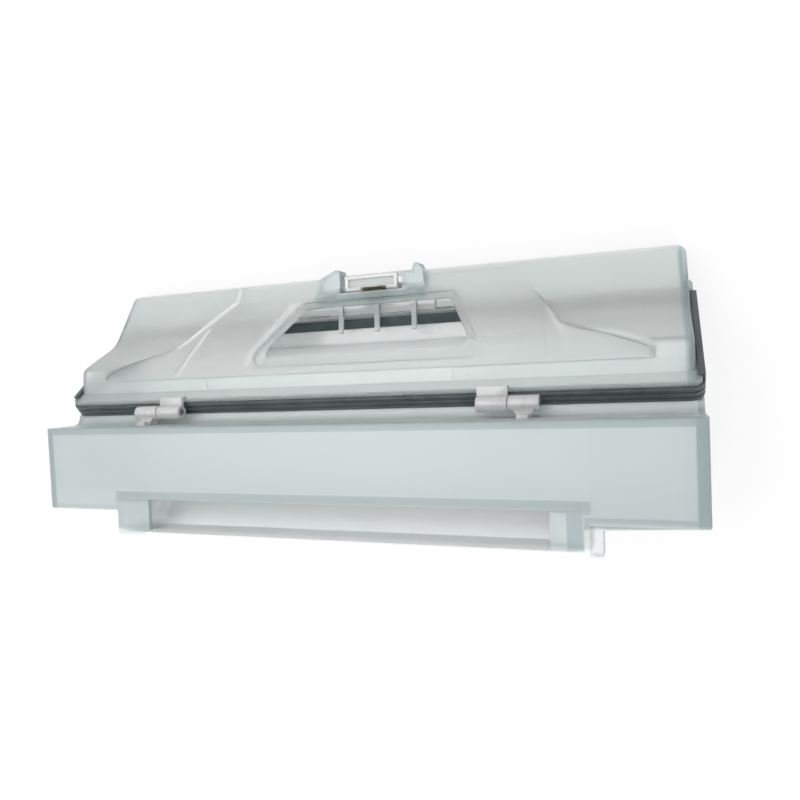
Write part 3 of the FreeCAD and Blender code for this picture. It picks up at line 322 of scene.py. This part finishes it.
def seal_rubber(name):
    material, tree, output = new_material(name)
    place = add_node(tree, "ShaderNodeTexCoord").outputs["Object"]
    bloom = add_node(tree, "ShaderNodeTexNoise", Vector=place, Scale=per_metre(9.0), Detail=4.0)
    skin = add_node(tree, "ShaderNodeTexNoise", Vector=place, Scale=per_metre(0.9), Detail=2.0)
    colour = ramp(tree, bloom.outputs["Fac"], [(0.3, "363f40"), (0.75, "4d5758")])
    rough = add_node(tree, "ShaderNodeMapRange", Value=bloom.outputs["Fac"], From_Min=0.3, From_Max=0.7,
                     To_Min=0.30, To_Max=0.42)
    uneven = add_node(tree, "ShaderNodeBump", Height=skin.outputs["Fac"], Strength=0.25, Distance=0.05 * MM)
    shader = add_node(tree, "ShaderNodeBsdfPrincipled", Base_Color=colour.outputs["Color"],
                      Roughness=rough.outputs["Result"], Normal=uneven.outputs["Normal"], IOR=1.6)
    tree.links.new(shader.outputs["BSDF"], output.inputs["Surface"])
    return material


rubber = seal_rubber("epdm_rubber_black")
print("made", rubber.name)

# %% [markdown]
# ## Steel of the pins and the spring
# Pins and axle are drawn stainless wire, bright with fine lines along their length. The spring is wound
# from wire with a dull olive passivation. Both are metals, so the colour goes into the reflection, and
# one recipe serves both: the drawing lines are a noise pulled long along the bin.

# %% Make the steels


def drawn_wire(name, bright, dull, smooth, coarse):
    material, tree, output = new_material(name)
    place = add_node(tree, "ShaderNodeTexCoord").outputs["Object"]
    pulled = add_node(tree, "ShaderNodeMapping", Vector=place, Scale=(0.05, 1.0, 1.0))
    lines = add_node(tree, "ShaderNodeTexNoise", Vector=pulled.outputs["Vector"], Scale=per_metre(0.3),
                     Detail=3.0)
    colour = ramp(tree, lines.outputs["Fac"], [(0.3, dull), (0.7, bright)])
    rough = add_node(tree, "ShaderNodeMapRange", Value=lines.outputs["Fac"], From_Min=0.3, From_Max=0.7,
                     To_Min=smooth, To_Max=coarse)
    shader = add_node(tree, "ShaderNodeBsdfPrincipled", Base_Color=colour.outputs["Color"],
                      Roughness=rough.outputs["Result"], Metallic=1.0)
    tree.links.new(shader.outputs["BSDF"], output.inputs["Surface"])
    return material


pin_steel = drawn_wire("stainless_drawn", "c9cacb", "9fa1a3", 0.22, 0.36)
spring_steel = drawn_wire("spring_wire_olive", "9b9068", "6b6244", 0.34, 0.48)
print("made", pin_steel.name, "and", spring_steel.name)

# %% [markdown]
# ## Finish of the solids
# Most pieces keep the exact solid that came with the model, because a moulding is its shape. Each gets
# its material in its own slot, and nothing else of it is touched.

# %% Give the solids their finish
FINISH = {
    "tray": tray_plastic, "lid": lid_plastic, "lid_seal": rubber,
    "left_tray_hinge": hinge_plastic, "left_lid_hinge": hinge_plastic, "left_hinge_pin": pin_steel,
    "right_tray_hinge": hinge_plastic, "right_lid_hinge": hinge_plastic, "right_hinge_pin": pin_steel,
    "latch_lever": hinge_plastic, "latch_axle": pin_steel, "latch_spring": spring_steel}
for node, material in FINISH.items():
    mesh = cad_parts[node].data
    mesh.materials.clear()
    mesh.materials.append(material)
print("finished", len(FINISH), "solids")

# %% [markdown]
# ## Working by hand in code
# The pieces below are shaped with the same operators as in Blender's window. An operator works on what is
# selected, so three helpers do the selecting: one deselects everything before a primitive is added, one
# selects faces by a test on their middle and normal, and one ends edit mode and closes the piece with a
# small bevel, whose rounded edge catches the light as a moulded edge does.

# %% Helpers for shaping


def start_clean():
    if bpy.context.mode != "OBJECT":
        bpy.ops.object.mode_set(mode="OBJECT")
    bpy.ops.object.select_all(action="DESELECT")


def select_faces(piece, test):
    """In edit mode, select the faces whose middle and normal pass the test."""
    bpy.ops.object.mode_set(mode="EDIT")
    bpy.ops.mesh.select_mode(type="FACE")
    bpy.ops.mesh.select_all(action="DESELECT")
    bpy.ops.object.mode_set(mode="OBJECT")
    chosen = 0
    for polygon in piece.data.polygons:
        polygon.select = bool(test(polygon.center / MM, polygon.normal))
        chosen += polygon.select
    bpy.ops.object.mode_set(mode="EDIT")
    return chosen


def soften(piece, width, segments, angle=35.0):
    """Bevel the sharp edges by a width in mm and smooth the shading between them."""
    start_clean()
    piece.select_set(True)
    bpy.context.view_layer.objects.active = piece
    bevel = piece.modifiers.new("soft_edges", "BEVEL")
    bevel.width = width * MM
    bevel.segments = segments
    bevel.limit_method = "ANGLE"
    bevel.angle_limit = math.radians(angle)
    bpy.ops.object.modifier_apply(modifier=bevel.name)
    bpy.ops.object.shade_smooth_by_angle(angle=math.radians(40))


print("helpers ready")

# %% [markdown]
# ## The seal
# The real seal is a closed ring of rubber with three lips round its outer side, and its lips are rounded.
# A profile swept round a path would need care at the corners. It is easier to start from the whole ring:
# a flat plate gets its corners rounded by a vertex bevel and its middle taken out by an inset, which keeps
# the corners concentric. It is pulled up to its thickness, cut in layers by bisect, and two of the layers
# are pushed in for the grooves. At both ends of the bin the rubber also folds over the edge of the lid's
# flange, so a bar with a hooked top is joined to the ring there. At last all is tilted onto the opening.

# %% Shape the seal
SEAL_HALF, SEAL_LOW, SEAL_HIGH = 145.5, -0.5, 61.55   # outer side of the ring, flat, in mm
SEAL_BAND, SEAL_THICK, SEAL_OFF, SEAL_ROUND = 3.5, 6.0, 0.3, 5.0
GROOVES = ((0.20, 0.32), (0.62, 0.74))   # as shares of the thickness
GROOVE_DEEP = 0.8
start_clean()
bpy.ops.mesh.primitive_plane_add(size=1.0, location=(0, (SEAL_LOW + SEAL_HIGH) / 2 * MM, SEAL_OFF * MM))
seal = bpy.context.object
seal.name = "seal_ring"
seal.scale = (2 * SEAL_HALF * MM, (SEAL_HIGH - SEAL_LOW) * MM, 1.0)
bpy.ops.object.transform_apply(location=True, rotation=True, scale=True)
bpy.ops.object.mode_set(mode="EDIT")
bpy.ops.mesh.select_all(action="SELECT")
bpy.ops.mesh.bevel(offset=SEAL_ROUND * MM, segments=9, affect="VERTICES")
bpy.ops.mesh.select_mode(type="FACE")
bpy.ops.mesh.select_all(action="SELECT")
bpy.ops.mesh.inset(thickness=SEAL_BAND * MM, depth=0.0)
bpy.ops.mesh.delete(type="FACE")
bpy.ops.mesh.select_all(action="SELECT")
bpy.ops.mesh.extrude_region_move(TRANSFORM_OT_translate={"value": (0, 0, SEAL_THICK * MM)})
for share in GROOVES[0] + GROOVES[1]:
    bpy.ops.mesh.select_all(action="SELECT")
    bpy.ops.mesh.bisect(plane_co=(0, 0, (SEAL_OFF + share * SEAL_THICK) * MM), plane_no=(0, 0, 1))
bpy.ops.mesh.select_all(action="SELECT")
bpy.ops.mesh.normals_make_consistent(inside=False)
bpy.ops.object.mode_set(mode="OBJECT")
print("ring of", len(seal.data.polygons), "faces before its grooves")

# %% Push in the grooves


def in_groove(middle, normal):
    level = (middle.z - SEAL_OFF) / SEAL_THICK
    outward = normal.x * middle.x + normal.y * (middle.y - (SEAL_LOW + SEAL_HIGH) / 2) > 0
    return abs(normal.z) < 0.1 and outward and any(low < level < high for low, high in GROOVES)


grooves = select_faces(seal, in_groove)
bpy.ops.mesh.extrude_region_shrink_fatten(
    TRANSFORM_OT_shrink_fatten={"value": -GROOVE_DEEP * MM, "use_even_offset": True})
soften(seal, 0.3, 3)
print("seal:", grooves, "faces in its grooves,", len(seal.data.polygons), "faces in all")

# %% Fold the rubber over the flange at both ends
FOLD_OUT, FOLD_IN, FOLD_THICK = 145.5, 142.9, 0.8        # across the fold, in mm
FOLD_LOW, FOLD_UNDER, FOLD_TOP = 6.2, 8.55, 9.3          # above the rim
FOLD_START, FOLD_END = 4.4, 56.6                         # down the opening
folds = []
for side in (-1, 1):
    start_clean()
    bpy.ops.mesh.primitive_cube_add(size=1.0, location=(side * (FOLD_OUT - FOLD_THICK / 2) * MM,
                                                        (FOLD_START + FOLD_END) / 2 * MM,
                                                        (FOLD_LOW + FOLD_TOP) / 2 * MM))
    fold = bpy.context.object
    fold.scale = (FOLD_THICK * MM, (FOLD_END - FOLD_START) * MM, (FOLD_TOP - FOLD_LOW) * MM)
    bpy.ops.object.transform_apply(location=True, rotation=True, scale=True)
    bpy.ops.object.mode_set(mode="EDIT")
    bpy.ops.mesh.select_all(action="SELECT")
    bpy.ops.mesh.bisect(plane_co=(0, 0, FOLD_UNDER * MM), plane_no=(0, 0, 1))
    select_faces(fold, lambda middle, normal: normal.x * side < -0.9 and middle.z > FOLD_UNDER)
    bpy.ops.mesh.extrude_region_move(
        TRANSFORM_OT_translate={"value": (-side * (FOLD_OUT - FOLD_THICK - FOLD_IN) * MM, 0, 0)})
    soften(fold, 0.3, 3)
    folds.append(fold)
start_clean()
for piece in folds + [seal]:
    piece.select_set(True)
bpy.context.view_layer.objects.active = seal
bpy.ops.object.join()
print("the ring with its folds has", len(seal.data.polygons), "faces")

# %% Tilt the seal onto the opening
RIM_TILT, RIM_Y, RIM_Z = -49.9, -6.15, 51.2   # degrees about the bin's length, and the rim's near edge
seal.rotation_euler = (math.radians(RIM_TILT), 0, 0)
seal.location = (0, RIM_Y * MM, RIM_Z * MM)
bpy.ops.object.transform_apply(location=True, rotation=True, scale=True)
seal.data.materials.append(rubber)
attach(seal, "lid")
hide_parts("lid_seal")
print("the seal spans", [round(side / MM, 1) for side in seal.dimensions], "mm")

# %% [markdown]
# ## The spring
# A torsion spring of thin wire sits on the axle and holds the lever. A ring of wire swept by the Screw
# modifier gives the coil, because it turns and moves on at the same time. Both ends run out straight: one
# leg lies under the finger pad and one stands against the wall of the bay.

# %% Wind the spring
SPRING_AXIS = (1.7, 50.55, 8.6)
COIL_LONG, COIL_TURNS, COIL_RADIUS, WIRE = 12.4, 17, 1.1, 0.5
LEG_UNDER_PAD, LEG_ON_WALL = (0, -2.0, 0), (0, 3.2, 0)
start_clean()
bpy.ops.mesh.primitive_circle_add(vertices=10, radius=WIRE / 2 * MM, location=(0, 0, COIL_RADIUS * MM),
                                  rotation=(math.pi / 2, 0, 0))
spring = bpy.context.object
spring.name = "lever_spring"
bpy.ops.object.transform_apply(location=True, rotation=True, scale=True)
screw = spring.modifiers.new("coil", "SCREW")
screw.axis = "X"
screw.angle = 2 * math.pi
screw.screw_offset = COIL_LONG / COIL_TURNS * MM
screw.iterations = COIL_TURNS
screw.steps = screw.render_steps = 20
bpy.ops.object.modifier_apply(modifier=screw.name)
print("coil of", len(spring.data.polygons), "faces")

# %% Run out the two legs and set the spring in its place
for end, run in ((0, LEG_UNDER_PAD), (COIL_LONG, LEG_ON_WALL)):
    bpy.ops.object.mode_set(mode="EDIT")
    bpy.ops.mesh.select_mode(type="VERT")
    bpy.ops.mesh.select_all(action="DESELECT")
    bpy.ops.object.mode_set(mode="OBJECT")
    for vertex in spring.data.vertices:
        at_end = abs(vertex.co.x - end * MM) < 0.6 * WIRE * MM
        vertex.select = at_end and abs(vertex.co.y) < 1e-6 and vertex.co.z > 0
    bpy.ops.object.mode_set(mode="EDIT")
    bpy.ops.mesh.extrude_region_move(TRANSFORM_OT_translate={"value": tuple(v * MM for v in run)})
    bpy.ops.mesh.edge_face_add()
bpy.ops.mesh.select_all(action="SELECT")
bpy.ops.mesh.remove_doubles(threshold=0.001 * MM)
bpy.ops.mesh.normals_make_consistent(inside=False)
bpy.ops.object.mode_set(mode="OBJECT")
bpy.ops.object.shade_smooth()
spring.location = ((SPRING_AXIS[0] - COIL_LONG / 2) * MM, SPRING_AXIS[1] * MM, SPRING_AXIS[2] * MM)
bpy.ops.object.transform_apply(location=True, rotation=True, scale=True)
spring.data.materials.append(spring_steel)
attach(spring, "lid")
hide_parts("latch_spring")
print("spring:", len(spring.data.polygons), "faces, spans", [round(v / MM, 1) for v in spring.dimensions])

# %% [markdown]
# ## Hinge brackets and lever
# These small mouldings have the right bulk in the model, but the real ones have softened edges, and the
# lever has a wide, dished finger pad. So each starts from a copy of its solid. The copy's triangles are
# merged and its flat faces dissolved into whole ones, because an inset or a bevel needs real edges.

# %% Copy and mend a solid


def copy_of(node, name):
    """A new piece from a node's mesh, merged and with its flat triangles dissolved."""
    start_clean()
    piece = bpy.data.objects.new(name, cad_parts[node].data.copy())
    bpy.context.scene.collection.objects.link(piece)
    piece.select_set(True)
    bpy.context.view_layer.objects.active = piece
    bpy.ops.object.mode_set(mode="EDIT")
    bpy.ops.mesh.select_all(action="SELECT")
    bpy.ops.mesh.remove_doubles(threshold=0.001 * MM)
    bpy.ops.mesh.dissolve_limited(angle_limit=math.radians(1.0))
    bpy.ops.object.mode_set(mode="OBJECT")
    return piece


brackets = {node: copy_of(node, node + "_bracket") for node in
            ("left_tray_hinge", "left_lid_hinge", "right_tray_hinge", "right_lid_hinge")}
for node, bracket in brackets.items():
    soften(bracket, 0.35, 2)
    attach(bracket, "lid" if "lid" in node else "tray")
    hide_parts(node)
    print(node, "has", len(bracket.data.polygons), "faces")

# %% Widen the lever's pad over the bosses
PAD_LOW, PAD_TOP, PAD_HALF, PAD_WING = 11.2, 13.3, 11.4, 2.1   # in mm
PAD_RIM, DISH_DEEP = 1.6, 1.1
NOTCH_MIDDLE, NOTCH_SIZE = (3.0, 49.2, 12.0), (13.0, 3.4, 6.0)
lever = copy_of("latch_lever", "latch_lever_pad")
bpy.ops.object.mode_set(mode="EDIT")
bpy.ops.mesh.select_all(action="SELECT")
bpy.ops.mesh.bisect(plane_co=(0, 0, PAD_LOW * MM), plane_no=(0, 0, 1))
for side in (-1, 1):
    sides = select_faces(lever, lambda middle, normal: normal.x * side > 0.9 and middle.z > PAD_LOW
                         and abs(middle.x - SPRING_AXIS[0] - side * PAD_HALF) < 0.1)
    bpy.ops.mesh.extrude_region_move(TRANSFORM_OT_translate={"value": (side * PAD_WING * MM, 0, 0)})
    print("wing on side", side, "from", sides, "faces")

# %% Dish the pad and notch it over the spring
tops = select_faces(lever, lambda middle, normal: normal.z > 0.9 and middle.z > PAD_TOP - 0.1)
bpy.ops.mesh.dissolve_faces()
bpy.ops.mesh.inset(thickness=PAD_RIM * MM, depth=0.0)
bpy.ops.mesh.extrude_region_move(TRANSFORM_OT_translate={"value": (0, 0, -DISH_DEEP * MM)})
start_clean()
bpy.ops.mesh.primitive_cube_add(size=1.0, location=[v * MM for v in NOTCH_MIDDLE])
cutter = bpy.context.object
cutter.scale = [v * MM for v in NOTCH_SIZE]
bpy.ops.object.transform_apply(location=True, rotation=True, scale=True)
notch = lever.modifiers.new("notch", "BOOLEAN")
notch.operation = "DIFFERENCE"
notch.object = cutter
start_clean()
lever.select_set(True)
bpy.context.view_layer.objects.active = lever
bpy.ops.object.modifier_apply(modifier=notch.name)
bpy.data.objects.remove(cutter)
soften(lever, 0.25, 2)
print("lever:", tops, "top faces, now", len(lever.data.polygons), "faces")

# %% Give the lever its finish, with painted shade in its dish
lever.data.materials.clear()
lever.data.materials.append(hinge_plastic)
lever.data.materials.append(dish_painted_shade)
dish_level = PAD_TOP - DISH_DEEP
dish = select_faces(lever, lambda middle, normal: normal.z > 0.9 and abs(middle.z - dish_level) < 0.1)
lever.active_material_index = 1
bpy.ops.object.material_slot_assign()
bpy.ops.object.mode_set(mode="OBJECT")
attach(lever, "latch")
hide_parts("latch_lever")
print("the dish has", dish, "faces")

# %% [markdown]
# ## Floor, light and camera
# The bin lies on a plain pale floor under soft light. Frosted plastic takes its look from what surrounds
# it, so the world is an even pale grey, and three large lamps, two above and one in front, add a gentle
# direction. The floor and the world turn white for the camera and for rays that come out of plastic or
# gleam off metal, which leaves the light on the bin as it is. The floor keeps part of its shading, so
# that the shadow stays.

# %% Set the floor and the world
SKY_LIGHT, SKY_WHITE, FLOOR_WHITE = 0.66, 1.0, 0.78
scene = bpy.context.scene
scene.view_settings.view_transform = "Standard"


def seen_directly(tree):
    """1 where a ray comes from the camera, through plastic or off a gleam."""
    path = add_node(tree, "ShaderNodeLightPath")
    first = add_node(tree, "ShaderNodeMath", {"operation": "MAXIMUM"}, i0=path.outputs["Is Camera Ray"],
                     i1=path.outputs["Is Glossy Ray"])
    both = add_node(tree, "ShaderNodeMath", {"operation": "MAXIMUM"}, i0=first.outputs[0],
                    i1=path.outputs["Is Transmission Ray"])
    return both.outputs[0]


bpy.ops.object.select_all(action="DESELECT")
bpy.ops.mesh.primitive_plane_add(size=6.0, location=(0, 0, -0.3 * MM))
floor = bpy.context.object
floor.name = "floor"
floor_paint, tree, output = new_material("floor_pale")
shade = add_node(tree, "ShaderNodeBsdfDiffuse", Color=linear("f2f2f2"))
glow = add_node(tree, "ShaderNodeEmission", Color=(1, 1, 1, 1), Strength=1.0)
share = add_node(tree, "ShaderNodeMath", {"operation": "MULTIPLY"}, i0=seen_directly(tree), i1=FLOOR_WHITE)
mixed = add_node(tree, "ShaderNodeMixShader", i0=share.outputs[0], i1=shade.outputs[0], i2=glow.outputs[0])
tree.links.new(mixed.outputs[0], output.inputs["Surface"])
floor.data.materials.append(floor_paint)

world = bpy.data.worlds.new("studio")
scene.world = world
world.use_nodes = True
tree = world.node_tree
tree.nodes.clear()
light = add_node(tree, "ShaderNodeBackground", Color=(1, 1, 1, 1), Strength=SKY_LIGHT)
white = add_node(tree, "ShaderNodeBackground", Color=(1, 1, 1, 1), Strength=SKY_WHITE)
mixed = add_node(tree, "ShaderNodeMixShader", i0=seen_directly(tree), i1=light.outputs[0],
                 i2=white.outputs[0])
out = add_node(tree, "ShaderNodeOutputWorld", Surface=mixed.outputs[0])
print("floor and world are set")

# %% Hang the lamps


def soft_lamp(name, place, aim, side, power):
    """A square area lamp of a side in metres and a power in watts, turned towards its aim."""
    data = bpy.data.lights.new(name, "AREA")
    data.shape = "SQUARE"
    data.size = side
    data.energy = power
    lamp = bpy.data.objects.new(name, data)
    scene.collection.objects.link(lamp)
    lamp.location = place
    lamp.rotation_mode = "QUATERNION"
    lamp.rotation_quaternion = (Vector(aim) - Vector(place)).to_track_quat("-Z", "Y")
    return lamp


soft_lamp("lamp_above", (-0.35, 0.25, 0.9), (0, 0, 0.03), 0.7, 4.4)
soft_lamp("lamp_side", (0.45, -0.55, 0.7), (0, 0, 0.03), 0.5, 2.4)
soft_lamp("lamp_front", (-0.2, -0.7, 0.25), (0, 0, 0.04), 0.6, 3.0)

# %% [markdown]
# The camera stands where the photographer held it: almost straight above the panel, a little to the right
# and only 32 cm away, so the right end of the bin looks much deeper than the left. Its place and the
# three directions come from a fit to the panel's corners and the lid's outline.

# %% Place the camera
camera_data = bpy.data.cameras.new("camera")
camera_data.lens = 30.81
camera_data.sensor_width = 36.0
camera_data.clip_start = 0.01
camera = bpy.data.objects.new("camera", camera_data)
scene.collection.objects.link(camera)
right, up, back = (0.93877, -0.04389, -0.34171), (0.02797, 0.99829, -0.05139), (0.34338, 0.03869, 0.93839)
turn = Matrix((right, up, back)).transposed()
camera.rotation_mode = "QUATERNION"
camera.rotation_quaternion = turn.to_quaternion()
camera.location = (0.12658, 0.00849, 0.32066)
scene.camera = camera
print("camera at", [round(v, 3) for v in camera.location])
